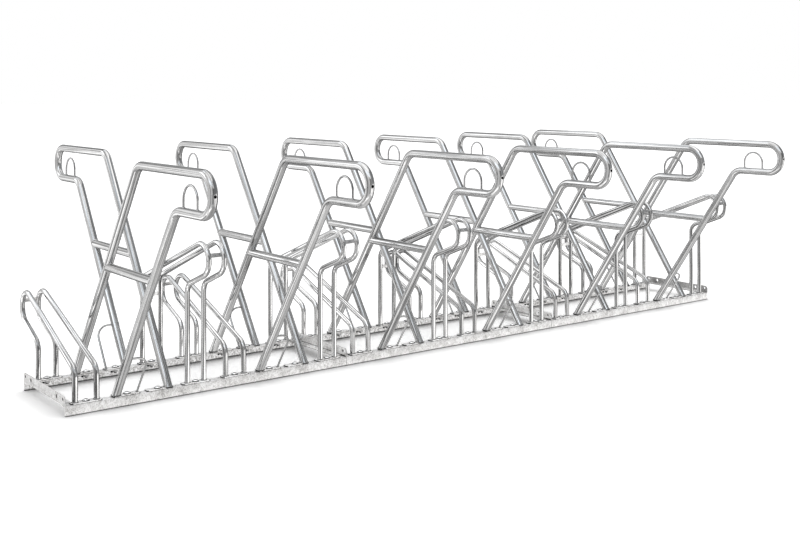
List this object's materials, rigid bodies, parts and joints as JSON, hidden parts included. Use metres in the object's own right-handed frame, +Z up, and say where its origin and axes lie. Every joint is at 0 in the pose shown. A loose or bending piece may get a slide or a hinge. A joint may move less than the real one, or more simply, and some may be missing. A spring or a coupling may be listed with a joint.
{
  "type": "bike parking stand",
  "caption": "Two-sided bike parking row of bolted steel modules, with leaning tube hoops, staggered high and low wheel holders and locking eyes on angle rails.",
  "frame": {"origin": "on the floor at the middle of the row, under the centre of its bounding box", "axes": "+X along the row, +Z up, -Y towards the near side"},
  "size_m": [2.9996, 1.593, 0.7524],
  "materials": {
    "rolled_angle": "hot-dip galvanised, matt and mottled",
    "bent_tube": "hot-dip galvanised, satin with lengthwise streaks",
    "coupling_bolt": "zinc plated"
  },
  "bodies": {
    "root": {"near_rail_1": "rolled_angle", "far_rail_1": "rolled_angle", "left_cross_angle_1": "rolled_angle", "right_cross_angle_1": "rolled_angle", "near_rail_2": "rolled_angle", "far_rail_2": "rolled_angle", "left_cross_angle_2": "rolled_angle", "right_cross_angle_2": "rolled_angle", "near_rail_3": "rolled_angle", "far_rail_3": "rolled_angle", "left_cross_angle_3": "rolled_angle", "right_cross_angle_3": "rolled_angle", "near_coupling_bolt_1": "coupling_bolt", "far_coupling_bolt_1": "coupling_bolt", "near_coupling_bolt_2": "coupling_bolt", "far_coupling_bolt_2": "coupling_bolt", "low_holder_1": "bent_tube", "near_hoop_1": "bent_tube", "far_hoop_1": "bent_tube", "high_holder_1": "bent_tube", "low_holder_2": "bent_tube", "near_hoop_2": "bent_tube", "far_hoop_2": "bent_tube", "high_holder_2": "bent_tube", "low_holder_3": "bent_tube", "near_hoop_3": "bent_tube", "far_hoop_3": "bent_tube", "high_holder_3": "bent_tube", "low_holder_4": "bent_tube", "near_hoop_4": "bent_tube", "far_hoop_4": "bent_tube", "high_holder_4": "bent_tube", "low_holder_5": "bent_tube", "near_hoop_5": "bent_tube", "far_hoop_5": "bent_tube", "high_holder_5": "bent_tube", "low_holder_6": "bent_tube", "near_hoop_6": "bent_tube", "far_hoop_6": "bent_tube", "high_holder_6": "bent_tube"}
  },
  "joints": []
}
